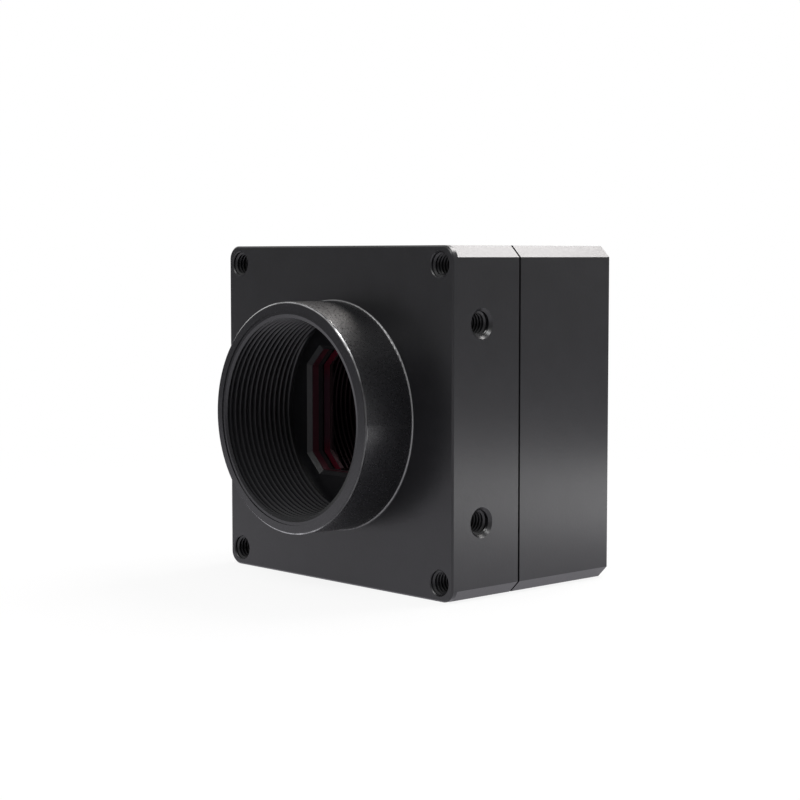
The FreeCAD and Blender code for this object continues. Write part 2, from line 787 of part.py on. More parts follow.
# ---------------------------------------------------------------- export
pieces = [
    front_housing, rear_housing, ir_cut_filter, sensor_gasket, sensor_package, sensor_die,
    sensor_cover_glass, sensor_board, sensor_board_capacitors, sensor_board_regulators, board_plug,
    board_receptacle, board_standoffs, board_screws, main_board, image_processor, thermal_pad,
    memory_chips, interface_controller, clock_oscillator, power_inductors, main_board_capacitors,
    data_socket_shell, data_socket_insulator, data_socket_contacts, power_socket_shell,
    power_socket_insert, power_socket_pins, power_socket_nut, power_socket_washer, light_pipe,
    status_led, housing_screws,
]

os.makedirs("parts", exist_ok=True)
for make in pieces:
    shape = make()
    shape.exportStep("parts/" + make.__name__ + ".step")
    print(make.__name__, len(shape.Solids), "solid(s)", round(shape.Volume, 2), "mm3", shape.isValid())
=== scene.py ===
"""Studio scene of a machine vision camera: its parts' finishes, threads, floor, light and viewpoint."""
import logging
import math
from dataclasses import dataclass
from enum import Enum
from typing import Iterable

import bpy
from mathutils import Matrix, Vector


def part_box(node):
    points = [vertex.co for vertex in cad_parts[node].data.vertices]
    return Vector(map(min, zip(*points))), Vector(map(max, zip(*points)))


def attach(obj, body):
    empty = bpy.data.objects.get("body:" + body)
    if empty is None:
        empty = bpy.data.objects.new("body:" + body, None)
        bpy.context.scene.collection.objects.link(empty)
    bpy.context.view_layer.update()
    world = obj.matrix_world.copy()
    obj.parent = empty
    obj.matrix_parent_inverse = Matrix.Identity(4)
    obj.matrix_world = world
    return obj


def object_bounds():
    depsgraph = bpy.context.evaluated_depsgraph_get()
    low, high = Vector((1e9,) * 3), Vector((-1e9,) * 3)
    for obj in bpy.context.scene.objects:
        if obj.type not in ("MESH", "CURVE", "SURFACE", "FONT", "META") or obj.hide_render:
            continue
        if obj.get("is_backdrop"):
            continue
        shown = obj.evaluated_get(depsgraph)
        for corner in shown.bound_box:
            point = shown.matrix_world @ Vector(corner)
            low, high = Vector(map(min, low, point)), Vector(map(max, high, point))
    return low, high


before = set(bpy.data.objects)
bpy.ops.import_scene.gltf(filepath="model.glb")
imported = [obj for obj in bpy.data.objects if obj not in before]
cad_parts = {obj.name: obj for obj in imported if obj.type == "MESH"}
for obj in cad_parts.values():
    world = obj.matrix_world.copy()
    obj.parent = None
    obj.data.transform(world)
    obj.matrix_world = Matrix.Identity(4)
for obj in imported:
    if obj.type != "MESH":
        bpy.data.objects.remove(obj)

LOG = logging.getLogger("camera_scene")
MM = 0.001
BODY = "root"

Colour = tuple[float, float, float]
Point = tuple[float, float, float]
Span = tuple[float, float]
BLACK: Colour = (0.0, 0.0, 0.0)
WHITE: Colour = (1.0, 1.0, 1.0)

# Nearly all of a noise lies between these levels.
NOISE_SPAN: Span = (0.3, 0.7)
# A grain's finer layers: how many there are, and how strong.
GRAIN_LAYERS = 3.0
GRAIN_STRENGTH = 0.6
# The scale at which a wave texture's rings are one unit of length apart.
WAVE_SCALE = 0.314
# The standard thread form, as shares of the pitch: half of a ridge's foot, and half of its crest.
HALF_FOOT = 7 / 16
HALF_CREST = 1 / 8
# The corners of a ridge's section.
SECTION_CORNERS = 4
# Edges of an added piece that are flatter than this look round.
SMOOTH_ANGLE = math.radians(30)


# ---------------------------------------------------------------- node graphs
class Signal:
    """An output socket that adds Math nodes for the arithmetic written on it."""

    def __init__(self, graph: "Graph", socket: bpy.types.NodeSocket) -> None:
        """Wraps a socket.

        Args:
            graph: The node graph that owns the socket.
            socket: The output socket itself.
        """
        self.graph = graph
        self.socket = socket

    def _math(self, operation: str, first: "Value", second: "Value") -> "Signal":
        """Adds one Math node on two values.

        Args:
            operation: The node's operation.
            first: Its first value.
            second: Its second value.

        Returns:
            The result.
        """
        return self.graph.node("ShaderNodeMath", {"operation": operation}, {0: first, 1: second})

    def __add__(self, other: "Value") -> "Signal":
        """Sum."""
        return self._math("ADD", self, other)

    def __radd__(self, other: "Value") -> "Signal":
        """Sum, reflected."""
        return self._math("ADD", other, self)

    def __sub__(self, other: "Value") -> "Signal":
        """Difference."""
        return self._math("SUBTRACT", self, other)

    def __rsub__(self, other: "Value") -> "Signal":
        """Difference, reflected."""
        return self._math("SUBTRACT", other, self)

    def __mul__(self, other: "Value") -> "Signal":
        """Product."""
        return self._math("MULTIPLY", self, other)

    def __rmul__(self, other: "Value") -> "Signal":
        """Product, reflected."""
        return self._math("MULTIPLY", other, self)

    def __gt__(self, other: "Value") -> "Signal":
        """1 where the signal is larger, 0 elsewhere."""
        return self._math("GREATER_THAN", self, other)

    def __lt__(self, other: "Value") -> "Signal":
        """1 where the signal is smaller, 0 elsewhere."""
        return self._math("LESS_THAN", self, other)

    def power(self, exponent: float) -> "Signal":
        """The signal raised to a power."""
        return self._math("POWER", self, exponent)

    def size(self) -> "Signal":
        """The signal without its sign."""
        return self._math("ABSOLUTE", self, 0.0)

    def most(self, other: "Value") -> "Signal":
        """The larger of two signals."""
        return self._math("MAXIMUM", self, other)

    def least(self, other: "Value") -> "Signal":
        """The smaller of two signals."""
        return self._math("MINIMUM", self, other)

    def ramp(self, low: float, high: float, bottom: float = 0.0, top: float = 1.0) -> "Signal":
        """A smooth step between two levels of the signal.

        Args:
            low: The signal's level where the step starts.
            high: The signal's level where it ends.
            bottom: The value before the step.
            top: The value after it.

        Returns:
            The stepped signal.
        """
        settings = {"interpolation_type": "SMOOTHSTEP"}
        values = {"Value": self, "From Min": low, "From Max": high, "To Min": bottom, "To Max": top}
        return self.graph.node("ShaderNodeMapRange", settings, values)


Value = Signal | float | tuple


class Graph:
    """A material's or the world's node tree."""

    def __init__(self, owner: bpy.types.Material | bpy.types.World) -> None:
        """Empties the owner's node tree.

        Args:
            owner: The material or world whose nodes are built.
        """
        owner.use_nodes = True
        self.tree = owner.node_tree
        self.tree.nodes.clear()
        kind = "World" if isinstance(owner, bpy.types.World) else "Material"
        self.output = self.tree.nodes.new(f"ShaderNodeOutput{kind}")

    def node(self, kind: str, settings: dict | None = None, inputs: dict | None = None,
             output: str | int = 0) -> Signal:
        """Adds a node.

        Args:
            kind: The node's type.
            settings: Its properties, which are set before its inputs.
            inputs: Values or links of its sockets, by name or number.
            output: The output socket that is handed back.

        Returns:
            The chosen output as a signal.
        """
        made = self.tree.nodes.new(kind)
        for name, value in (settings or {}).items():
            setattr(made, name, value)
        for name, value in (inputs or {}).items():
            if isinstance(value, Signal):
                self.tree.links.new(value.socket, made.inputs[name])
            elif made.inputs[name].type == "RGBA" and len(value) == 3:
                made.inputs[name].default_value = (*value, 1.0)
            else:
                made.inputs[name].default_value = value
        return Signal(self, made.outputs[output])

    def place(self) -> Signal:
        """Object coordinates."""
        return self.node("ShaderNodeTexCoord", output="Object")

    def axes(self) -> tuple[Signal, Signal, Signal]:
        """The three object coordinates as separate signals."""
        place = self.place()
        return tuple(self.node("ShaderNodeSeparateXYZ", None, {0: place}, axis) for axis in "XYZ")

    def mapped(self, centre: Point, stretch: Point = (1.0, 1.0, 1.0)) -> Signal:
        """Object coordinates from another centre, at another scale on each axis.

        Args:
            centre: The point that becomes the origin.
            stretch: How much each axis is scaled.

        Returns:
            The coordinates.
        """
        offset = tuple(-place * scale for place, scale in zip(centre, stretch))
        inputs = {"Vector": self.place(), "Location": offset, "Scale": stretch}
        return self.node("ShaderNodeMapping", {"vector_type": "POINT"}, inputs)

    def noise(self, size: float, detail: float = 2.0, roughness: float = 0.5,
              where: Signal | None = None) -> Signal:
        """Noise from 0 to 1.

        Args:
            size: The size of its blotches, in metres.
            detail: How many finer layers it has.
            roughness: How strong those layers are.
            where: Its coordinates, or None for plain object coordinates.

        Returns:
            The noise.
        """
        inputs = {"Vector": where or self.place(), "Scale": 1.0 / size, "Detail": detail,
                  "Roughness": roughness}
        return self.node("ShaderNodeTexNoise", {"noise_dimensions": "3D"}, inputs)

    def grain(self, size: float, where: Signal | None = None) -> Signal:
        """Crisp noise with strong finer layers."""
        return self.noise(size, GRAIN_LAYERS, GRAIN_STRENGTH, where)

    def blend(self, factor: Value, first: Value, second: Value) -> Signal:
        """Mixes two colours.

        Args:
            factor: 0 for the first colour, 1 for the second.
            first: Colour or signal.
            second: Colour or signal.

        Returns:
            The mixed colour.
        """
        return self.node("ShaderNodeMix", {"data_type": "RGBA"}, {0: factor, 6: first, 7: second}, 2)

    def bump(self, height: Signal, depth: float) -> Signal:
        """Turns a height from 0 to 1 into a normal.

        Args:
            height: The height signal.
            depth: What a height of 1 measures, in metres.

        Returns:
            The normal.
        """
        return self.node("ShaderNodeBump", None, {"Strength": 1.0, "Distance": depth, "Height": height})

    def mirror(self, colour: Colour, roughness: float) -> Signal:
        """A reflecting shader."""
        return self.node("ShaderNodeBsdfGlossy", None, {"Color": colour, "Roughness": roughness})

    def clear(self, colour: Colour) -> Signal:
        """A shader that lets light straight through."""
        return self.node("ShaderNodeBsdfTransparent", None, {"Color": colour})

    def mix(self, share: Signal, first: Signal, second: Signal) -> Signal:
        """Mixes two shaders: the first where the share is 0, the second where it is 1."""
        return self.node("ShaderNodeMixShader", None, {0: share, 1: first, 2: second})

    def direct_rays(self) -> tuple[Signal, Signal]:
        """Tells the rays that should see a white background from those that light the object.

        Returns:
            Two masks: 1 for rays seen straight or through glass, and 1 for reflections.
        """
        kinds = ("Is Camera Ray", "Is Transmission Ray", "Is Glossy Ray")
        camera, through, glossy = (self.node("ShaderNodeLightPath", output=kind) for kind in kinds)
        return camera.most(through), glossy

    def finish(self, shader: Signal) -> None:
        """Links the last shader to the surface."""
        self.tree.links.new(shader.socket, self.output.inputs["Surface"])


# ---------------------------------------------------------------- finishes
@dataclass(frozen=True)
class Finish:
    """A plain opaque finish: colour that drifts a little, grain in the gloss and in the surface."""

    name: str
    colour: Colour
    roughness: float
    metallic: float = 0.0
    ior: float = 1.5
    transmission: float = 0.0
    drift: float = 0.15
    drift_size: float = 4 * MM
    gloss_drift: float = 0.12
    grain_size: float = 0.15 * MM
    grain_depth: float = 0.002 * MM

    def tint(self, graph: Graph) -> Signal:
        """The base colour with its slow drift.

        Args:
            graph: The graph that the nodes go into.

        Returns:
            The colour.
        """
        darker = tuple(level * (1 - self.drift) for level in self.colour)
        lighter = tuple(min(1.0, level * (1 + self.drift)) for level in self.colour)
        return graph.blend(graph.noise(self.drift_size).ramp(*NOISE_SPAN), darker, lighter)

    def gloss(self, graph: Graph) -> Signal:
        """The roughness with a fine grain.

        Args:
            graph: The graph that the nodes go into.

        Returns:
            The roughness.
        """
        smoother, rougher = (self.roughness * (1 + way * self.gloss_drift) for way in (-1, 1))
        return graph.noise(2 * self.grain_size, GRAIN_LAYERS).ramp(*NOISE_SPAN, smoother, rougher)

    def metal(self, graph: Graph) -> Value:
        """How much of the surface is bare metal."""
        return self.metallic

    def relief(self, graph: Graph) -> Signal:
        """The normal of the surface's fine grain."""
        return graph.bump(graph.grain(self.grain_size), self.grain_depth)

    def shade(self, graph: Graph) -> Signal:
        """The whole shader.

        Args:
            graph: The graph that the nodes go into.

        Returns:
            The shader.
        """
        inputs = {"Base Color": self.tint(graph), "Roughness": self.gloss(graph),
                  "Metallic": self.metal(graph), "IOR": self.ior,
                  "Transmission Weight": self.transmission, "Normal": self.relief(graph)}
        return graph.node("ShaderNodeBsdfPrincipled", None, inputs)

    def build(self) -> bpy.types.Material:
        """Makes the material.

        Returns:
            The finished material.
        """
        material = bpy.data.materials.new(self.name)
        graph = Graph(material)
        graph.finish(self.shade(graph))
        return material


@dataclass(frozen=True)
class BlastedAnodising(Finish):
    """Bead-blasted aluminium, anodised black, with a finely turned lens flange worn at its outer edge; the
    finish also paints light: highlights on that edge and on the nose's fillet, shade low on the edge's
    right side, and a red reflection of the filter on the window's wall.
    """

    pit_size: float = 0.42 * MM
    pit_depth: float = 0.006 * MM
    sparkle_size: float = 0.24 * MM
    sparkle_span: Span = (0.35, 0.65)
    sparkle: float = 0.06
    nose_sparkle: float = 0.14
    nose_inside: float = 14.1 * MM
    flange_inside: float = 12.2 * MM
    flange_depth: float = 0.36 * MM
    turned_roughness: float = 0.17
    turned_calm: float = 0.8
    # The flange's outer edge: bare metal in worn patches that is also a painted highlight; its colour also
    # paints the fillet's highlight.
    edge_inside: float = 14.07 * MM
    edge_depth: float = 0.205 * MM
    wear_and_glint_metal: Colour = (0.60, 0.60, 0.61)
    edge_wear_and_glint: float = 0.75
    # The nose's fillet, where a highlight is painted with bare metal.
    root_inside: float = 14.23 * MM
    root_outside: float = 14.35 * MM
    root_start: float = 7.24 * MM
    root_end: float = 7.49 * MM
    root_painted_glint: float = 0.3
    wear_size: float = 1.6 * MM
    wear_span: Span = (0.34, 0.6)
    wear_least: float = 0.35
    # Painted shade: the edge's bare-metal highlight fades low on the flange's right side.
    painted_shade_way: tuple[float, float] = (0.94, -0.34)
    painted_shade_span: Span = (8 * MM, 11 * MM)
    painted_shade_least: float = 0.1
    window_half: tuple[float, float] = (9.45 * MM, 7.85 * MM)
    glue_start: float = 12.95 * MM
    glue_end: float = 13.7 * MM
    glue_roughness: float = 0.9
    web_start: float = 11.95 * MM
    # The painted red reflection of the filter on the window's wall.
    painted_red_reflection: Colour = (0.045, 0.010, 0.016)
    bevel_start: float = 11.41 * MM
    bevel_grow: float = 0.5 * MM
    bevel_glue: float = 0.35

    def from_axis(self, graph: Graph) -> tuple[Signal, Signal]:
        """How far a point is from the optical axis, and how far behind the lens flange."""
        x, y, z = graph.axes()
        return (x * x + z * z).power(0.5), y

    def band(self, graph: Graph, inside: float, depth: float) -> Signal:
        """1 outside a radius and down to a depth behind the lens flange.

        Args:
            graph: The graph that the nodes go into.
            inside: The band's inner radius.
            depth: How far it reaches into the camera.

        Returns:
            The mask.
        """
        radius, y = self.from_axis(graph)
        return (radius > inside) * (y < depth)

    def in_window(self, graph: Graph, start: float, end: float, grow: float = 0.0) -> Signal:
        """1 on a stretch of the window's wall.

        Args:
            graph: The graph that the nodes go into.
            start: Where the stretch starts along the optical axis.
            end: Where it ends.
            grow: How much further out than the window it reaches.

        Returns:
            The mask.
        """
        x, y, z = graph.axes()
        inside = (x.size() < self.window_half[0] + grow) * (z.size() < self.window_half[1] + grow)
        return inside * (y > start) * (y < end)

    def root(self, graph: Graph) -> Signal:
        """1 on the fillet where the nose meets the front face, where a highlight is painted.

        Args:
            graph: The graph that the nodes go into.

        Returns:
            The mask.
        """
        radius, y = self.from_axis(graph)
        ring = (radius > self.root_inside) * (radius < self.root_outside)
        return ring * (y > self.root_start) * (y < self.root_end)

    def metal(self, graph: Graph) -> Signal:
        """Bare metal in worn patches on the flange's outer edge, which is also a painted highlight, and a
        painted highlight of metal on the fillet.

        Args:
            graph: The graph that the nodes go into.

        Returns:
            How much of the surface is bare metal: least of all low on the flange's right side, as painted
                shade.
        """
        x, _, z = graph.axes()
        way = x * self.painted_shade_way[0] + z * self.painted_shade_way[1]
        # Painted shade: less bare metal low on the flange's right side.
        edge_painted_shade = way.ramp(*self.painted_shade_span, 1.0, self.painted_shade_least)
        patches = graph.noise(self.wear_size, GRAIN_LAYERS).ramp(*self.wear_span, self.wear_least, 1.0)
        edge = self.band(graph, self.edge_inside, self.edge_depth) * patches * edge_painted_shade * self.edge_wear_and_glint
        # The fillet's bare metal is a painted highlight.
        return edge + self.root(graph) * self.root_painted_glint

    def tint(self, graph: Graph) -> Signal:
        """Black dye with a slow drift, a painted red reflection of the filter on the window's wall, and the
        bare metal of the worn edge and of the painted highlights.

        Args:
            graph: The graph that the nodes go into.

        Returns:
            The colour.
        """
        # Painted red reflection of the filter on the window's wall, over the black dye.
        painted_red_wall = self.in_window(graph, self.web_start, self.glue_start)
        dye_and_red_reflection = graph.blend(painted_red_wall, super().tint(graph), self.painted_red_reflection)
        return graph.blend(self.metal(graph), dye_and_red_reflection, self.wear_and_glint_metal)

    def gloss(self, graph: Graph) -> Signal:
        """Satin that sparkles most on the nose, smoother where the flange is turned, dull on the glue.

        Args:
            graph: The graph that the nodes go into.

        Returns:
            The roughness.
        """
        nose = self.band(graph, self.nose_inside, self.root_start)
        share = self.sparkle + nose * (self.nose_sparkle - self.sparkle)
        grain = 1 + graph.noise(self.sparkle_size).ramp(*self.sparkle_span, -1.0, 1.0) * share
        turned = self.band(graph, self.flange_inside, self.flange_depth)
        metal = self.roughness - turned * (self.roughness - self.turned_roughness)
        bevel = self.in_window(graph, self.bevel_start, self.web_start, self.bevel_grow)
        glue = self.in_window(graph, self.glue_start, self.glue_end).most(self.bevel_glue * bevel)
        return grain * (metal + glue * (self.glue_roughness - self.roughness))

    def relief(self, graph: Graph) -> Signal:
        """Fine grain over wider shallow pits, all of it fainter on the turned flange.

        Args:
            graph: The graph that the nodes go into.

        Returns:
            The normal.
        """
        pits = graph.noise(self.pit_size, detail=1.0) * (self.pit_depth / self.grain_depth)
        turned = self.band(graph, self.flange_inside, self.flange_depth)
        height = (graph.grain(self.grain_size) + pits) * (1 - self.turned_calm * turned)
        return graph.bump(height, self.grain_depth)


@dataclass(frozen=True)
class TurnedMetal(Finish):
    """Plated metal with the fine rings of a lathe tool about an axis along Y."""

    centre: Point = (0.0, 0.0, 0.0)
    ring_pitch: float = 0.12 * MM
    ring_depth: float = 0.0008 * MM
    ring_waver: float = 0.4

    def relief(self, graph: Graph) -> Signal:
        """Tool rings over the plating's grain.

        Args:
            graph: The graph that the nodes go into.

        Returns:
            The normal.
        """
        settings = {"wave_type": "RINGS", "rings_direction": "Y", "wave_profile": "SIN"}
        inputs = {"Vector": graph.mapped(self.centre), "Scale": WAVE_SCALE / self.ring_pitch,
                  "Distortion": self.ring_waver}
        rings = graph.node("ShaderNodeTexWave", settings, inputs, "Fac")
        height = graph.grain(self.grain_size) + rings * (self.ring_depth / self.grain_depth)
        return graph.bump(height, self.grain_depth)


@dataclass(frozen=True)
class BrushedSheet(Finish):
    """Rolled and plated sheet with drawing lines along Y."""

    line_width: float = 0.06 * MM
    line_stretch: float = 0.03
    line_depth: float = 0.0015 * MM
    streak_width: float = 0.24 * MM
    streak_range: tuple[float, float] = (0.75, 1.3)

    def lines(self, graph: Graph, width: float) -> Signal:
        """Noise drawn out along Y.

        Args:
            graph: The graph that the nodes go into.
            width: The width of its lines.

        Returns:
            The noise.
        """
        where = graph.mapped((0.0, 0.0, 0.0), (1.0, self.line_stretch, 1.0))
        return graph.grain(width, where)

    def gloss(self, graph: Graph) -> Signal:
        """The roughness with streaks along the lines."""
        smoother, rougher = (self.roughness * share for share in self.streak_range)
        return self.lines(graph, self.streak_width).ramp(*NOISE_SPAN, smoother, rougher)

    def relief(self, graph: Graph) -> Signal:
        """The drawing lines."""
        return graph.bump(self.lines(graph, self.line_width), self.line_depth)


@dataclass(frozen=True)
class CoatedFilter(Finish):
    """Infrared-cut glass: faintly green seen straight on, a dark mirror aslant with two red side bands that
    are a painted reflection of the window's wall, brighter towards their ends.
    """

    through: Colour = (0.66, 0.80, 0.78)
    straight: float = 0.06
    aslant: float = 0.9
    # Painted reflection of the window's wall: red, darker in the middle of the bands and brighter towards
    # their ends.
    painted_reflection_middle: Colour = (0.16, 0.075, 0.10)
    painted_reflection_ends: Colour = (0.30, 0.030, 0.062)
    band_roughness: float = 0.5
    band_start: float = 9.15 * MM
    band_width: float = 1.15 * MM
    band_half_height: float = 7.8 * MM
    band_corner: float = 2.2 * MM
    band_edge: float = 0.06 * MM
    # Where the painted reflection grows brighter towards the bands' ends.
    painted_light_span: Span = (3 * MM, 7 * MM)
    facing_blend: float = 0.5
    facing_span: Span = (0.02, 0.3)

    def inside(self, graph: Graph, half_width: float) -> Signal:
        """1 within an octagon as high as the window.

        Args:
            graph: The graph that the nodes go into.
            half_width: Half the octagon's width.

        Returns:
            The mask, with a soft edge.
        """
        x, _, z = graph.axes()
        across, along = half_width - x.size(), self.band_half_height - z.size()
        slanted = (across + along - self.band_corner) * math.sqrt(0.5)
        return across.least(slanted).ramp(0.0, self.band_edge)

    def bands(self, graph: Graph) -> Signal:
        """1 on two narrow upright bands where a red reflection of the window's wall is painted."""
        inner = self.inside(graph, self.band_start - self.band_width)
        return self.inside(graph, self.band_start) * (1 - inner)

    def shade(self, graph: Graph) -> Signal:
        """Mixes the clear glass with the dark mirror and its painted red reflection bands by the angle of
        view.

        Args:
            graph: The graph that the nodes go into.

        Returns:
            The shader.
        """
        _, _, z = graph.axes()
        # The painted red reflection, brighter towards the bands' ends.
        middle, ends = (graph.mirror(colour, self.band_roughness)
                        for colour in (self.painted_reflection_middle, self.painted_reflection_ends))
        band = graph.mix(z.size().ramp(*self.painted_light_span), middle, ends)
        mirror = graph.mix(self.bands(graph), graph.mirror(self.colour, self.roughness), band)
        facing = graph.node("ShaderNodeLayerWeight", None, {"Blend": self.facing_blend}, "Facing")
        share = facing.ramp(*self.facing_span, self.straight, self.aslant)
        return graph.mix(share, graph.clear(self.through), mirror)


@dataclass(frozen=True)
class ClearGlass(Finish):
    """Thin uncoloured glass with its surface reflection."""

    def shade(self, graph: Graph) -> Signal:
        """Mixes what is behind the glass with a clear reflection."""
        share = graph.node("ShaderNodeFresnel", None, {"IOR": self.ior})
        return graph.mix(share, graph.clear(self.colour), graph.mirror(WHITE, self.roughness))


class Wardrobe:
    """Makes each finish's material once and hands it out."""

    def __init__(self) -> None:
        """Starts with no material made."""
        self.made: dict[str, bpy.types.Material] = {}

    def material(self, finish: Finish) -> bpy.types.Material:
        """A finish's material.

        Args:
            finish: The finish.

        Returns:
            Its material, made at the first request.
        """
        if finish.name not in self.made:
            self.made[finish.name] = finish.build()
        return self.made[finish.name]


HOUSING = BlastedAnodising("black_anodising", (0.0085, 0.0085, 0.0100), 0.31, drift=0.1,
                           grain_size=0.12 * MM, grain_depth=0.0035 * MM)
FILTER = CoatedFilter("coated_filter", (0.14, 0.09, 0.10), 0.05)
COVER = ClearGlass("cover_glass", (0.95, 0.97, 0.96), 0.02)
SILICON = Finish("silicon", (0.11, 0.14, 0.20), 0.16, metallic=0.8)
CERAMIC = Finish("package_ceramic", (0.055, 0.05, 0.048), 0.55)
SILICONE = Finish("black_silicone", (0.014, 0.014, 0.014), 0.6)
LAMINATE = Finish("board_laminate", (0.01, 0.09, 0.035), 0.35)
RESIN = Finish("chip_resin", (0.02, 0.02, 0.021), 0.5)
CAPACITOR = Finish("capacitor_ceramic", (0.33, 0.21, 0.12), 0.45)
FERRITE = Finish("inductor_ferrite", (0.05, 0.05, 0.052), 0.5)
TIN = BrushedSheet("plated_sheet", (0.62, 0.61, 0.58), 0.28, metallic=1.0)
MOULDING = Finish("connector_moulding", (0.018, 0.018, 0.019), 0.42, grain_depth=0.004 * MM)
STUD_NICKEL = Finish("stud_nickel", (0.60, 0.57, 0.52), 0.24, metallic=1.0)
SOCKET_NICKEL = TurnedMetal("socket_nickel", (0.50, 0.48, 0.45), 0.26, metallic=1.0,
                            centre=(0.0, 0.0, -12 * MM))
ZINC = Finish("zinc_plate", (0.56, 0.56, 0.55), 0.32, metallic=1.0)
BLACK_OXIDE = Finish("black_oxide", (0.022, 0.022, 0.024), 0.34, metallic=0.5)
GOLD = Finish("gold_plate", (0.83, 0.58, 0.22), 0.2, metallic=1.0)
HEAT_PAD = Finish("heat_pad", (0.24, 0.33, 0.45), 0.7)
LIGHT_PIPE = Finish("light_pipe", (0.80, 0.86, 0.80), 0.12, transmission=0.8)
LED = Finish("led_lens", (0.70, 0.68, 0.40), 0.25)


# ---------------------------------------------------------------- threads
def deselect_all() -> None:
    """Leaves object mode with nothing selected."""
    if bpy.context.object and bpy.context.object.mode != "OBJECT":
        bpy.ops.object.mode_set(mode="OBJECT")
    bpy.ops.object.select_all(action="DESELECT")


class Side(Enum):
    """A face of the camera that has holes, as the way into the metal."""

    FRONT = (0.0, 1.0, 0.0)
    BACK = (0.0, -1.0, 0.0)
    RIGHT = (-1.0, 0.0, 0.0)
    LEFT = (1.0, 0.0, 0.0)
    TOP = (0.0, 0.0, -1.0)
    BOTTOM = (0.0, 0.0, 1.0)


@dataclass
class InternalThread:
    """Helical ridge of a tapped hole, standing inwards from the hole's wall along +Y."""

    name: str
    major_radius: float
    minor_radius: float
    pitch: float
    start: float
    end: float
    sink: float = 0.0
    land: float = 0.0
    land_slope: float = 0.0
    steps: int = 96
    fade_steps: int = 24
    fade_least: float = 0.02
    buried: float = 0.03 * MM
    weld: float = 0.0003 * MM

    def section(self, low: tuple[float, float], high: tuple[float, float]) -> bpy.types.Object:
        """Draws a four-sided section beside the axis.

        Args:
            low: Where its side towards the mouth starts, at the crest and at the wall.
            high: Where its far side ends, at the crest and at the wall.

        Returns:
            An object with the four edges of the section and no face.
        """
        deselect_all()
        bpy.ops.mesh.primitive_plane_add(size=2.0, location=(0, 0, 0))
        piece = bpy.context.object
        piece.name = self.name
        bpy.ops.object.mode_set(mode="EDIT")
        bpy.ops.mesh.select_all(action="SELECT")
        bpy.ops.mesh.delete(type="ONLY_FACE")
        bpy.ops.object.mode_set(mode="OBJECT")
        for vertex in piece.data.vertices:
            at_wall = vertex.co.x > 0
            radius = self.major_radius + self.buried if at_wall else self.minor_radius
            vertex.co = (radius, (high if vertex.co.y > 0 else low)[at_wall], 0)
        return piece

    def turned(self, piece: bpy.types.Object, turns: float, rise: float) -> None:
        """Sweeps a section round the Y axis.

        Args:
            piece: The section.
            turns: How many times it goes round.
            rise: How far it climbs in all.
        """
        screw = piece.modifiers.new("turns", "SCREW")
        screw.axis = "Y"
        screw.angle = math.tau * turns
        screw.screw_offset = rise
        screw.iterations = 1
        screw.steps = screw.render_steps = round(self.steps * turns)
        screw.use_merge_vertices = rise == 0
        screw.merge_threshold = self.weld
        screw.use_smooth_shade = False
        bpy.ops.object.modifier_apply(modifier=screw.name)

    def mouth_land(self) -> bpy.types.Object:
        """Turns the plain ring in front of the first turn, coned a little towards the axis.

        Returns:
            The ring, closed on itself.
        """
        end = self.start + self.land
        piece = self.section((self.start + self.land_slope, self.start), (end, end))
        self.turned(piece, 1, 0)
        return piece

    def trim(self, piece: bpy.types.Object) -> None:
        """Sinks both ends of the ridge into the wall and cuts its crest along the countersink.

        Args:
            piece: The thread, a vertex for each corner of its section at every step.
        """
        wall = self.major_radius + self.buried
        last = len(piece.data.vertices) // SECTION_CORNERS - 1
        for vertex in piece.data.vertices:
            step = vertex.index // SECTION_CORNERS
            share = min(1.0, self.fade_least + min(step, last - step) / self.fade_steps)
            radius = math.hypot(vertex.co.x, vertex.co.z)
            faded = wall - (wall - radius) * share
            cone = min(self.major_radius + self.sink - vertex.co.y, self.major_radius)
            scale = min(wall, max(faded, cone if self.sink else 0.0)) / radius
            vertex.co.x *= scale
            vertex.co.z *= scale

    def build(self) -> bpy.types.Object:
        """Turns the section into the thread and closes its ends.

        Returns:
            The thread as one closed mesh about the Y axis.
        """
        foot, crest = self.pitch * HALF_FOOT, self.pitch * HALF_CREST
        middle = self.start + foot
        piece = self.section((middle - crest, self.start), (middle + crest, middle + foot))
        rise = self.end - self.start - 2 * foot
        self.turned(piece, rise / self.pitch, rise)
        self.trim(piece)
        if self.land:
            self.mouth_land()
            piece.select_set(True)
            bpy.context.view_layer.objects.active = piece
            bpy.ops.object.join()
        bpy.ops.object.mode_set(mode="EDIT")
        bpy.ops.mesh.select_all(action="SELECT")
        bpy.ops.mesh.fill_holes(sides=SECTION_CORNERS)
        bpy.ops.mesh.select_all(action="SELECT")
        bpy.ops.mesh.normals_make_consistent(inside=False)
        bpy.ops.object.mode_set(mode="OBJECT")
        bpy.ops.object.shade_smooth_by_angle(angle=SMOOTH_ANGLE)
        return piece


@dataclass
class HoleThreads:
    """The same thread in every hole on one side."""

    thread: InternalThread
    side: Side
    mouths: list[Point]

    def build(self) -> bpy.types.Object:
        """Copies the thread to each mouth and joins the copies.

        Returns:
            One object with all the side's threads.
        """
        first = self.thread.build()
        turn = Vector(Side.FRONT.value).rotation_difference(Vector(self.side.value))
        copies = []
        for mouth in self.mouths:
            copy = first.copy()
            copy.data = first.data.copy()
            copy.data.transform(Matrix.Translation(Vector(mouth)) @ turn.to_matrix().to_4x4())
            bpy.context.scene.collection.objects.link(copy)
            copies.append(copy)
        bpy.data.objects.remove(first)
        deselect_all()
        for copy in copies:
            copy.select_set(True)
        bpy.context.view_layer.objects.active = copies[0]
        bpy.ops.object.join()
        copies[0].name = self.thread.name
        return copies[0]


